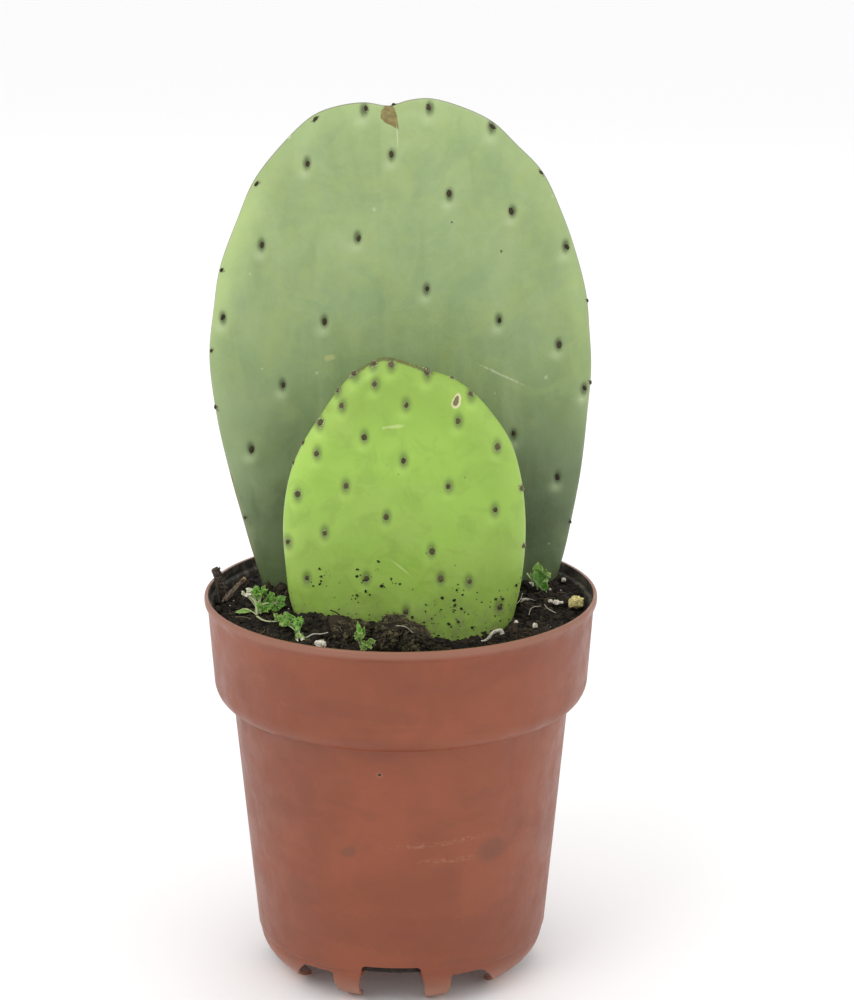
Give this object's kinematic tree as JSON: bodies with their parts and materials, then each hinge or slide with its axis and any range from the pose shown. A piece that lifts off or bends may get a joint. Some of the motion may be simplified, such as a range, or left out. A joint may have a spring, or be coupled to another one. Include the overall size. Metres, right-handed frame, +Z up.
{
  "type": "potted paddle cactus",
  "caption": "Two flat prickly-pear pads, a large one behind a small one, planted in a round tapered nursery pot with a band, a lip and a slotted foot ring.",
  "frame": {"origin": "centre of the pot's foot ring, on the surface that the pot stands on", "axes": "+Z up along the pot's axis; -Y is the front, where the small pad stands; the pads' faces look along -Y and +Y"},
  "size_m": [0.12, 0.12, 0.267],
  "materials": {
    "pot_plastic": "satin moulded terracotta plastic outside, black inside",
    "peat": "damp dark peat, rough",
    "rear_pad_skin": "waxy grey-green skin with a pale bloom",
    "front_pad_skin": "smooth waxy yellow-green skin",
    "bark": "rough weathered bark",
    "twig_wood": "dry pale wood",
    "weed_leaf": "fresh soft green leaf",
    "yellow_mineral": "crumbly pale yellow",
    "perlite": "rough white",
    "pale_fibre": "dry pale plant fibre"
  },
  "bodies": {
    "root": {"pot": "pot_plastic", "soil": "peat", "rear_pad": "rear_pad_skin", "front_pad": "front_pad_skin", "bark_stub": "bark", "twig": "twig_wood", "soil_clod": "peat", "soil_clod_low": "peat", "leafy_weed": "weed_leaf", "creeping_weed": "weed_leaf", "seedling": "weed_leaf", "lobed_weed": "weed_leaf", "yellow_crumb": "yellow_mineral", "grit_1": "perlite", "grit_2": "perlite", "grit_3": "perlite", "grit_4": "perlite", "grit_5": "perlite", "grit_6": "perlite", "pale_fibre": "pale_fibre", "curled_fibre": "pale_fibre"}
  },
  "joints": []
}
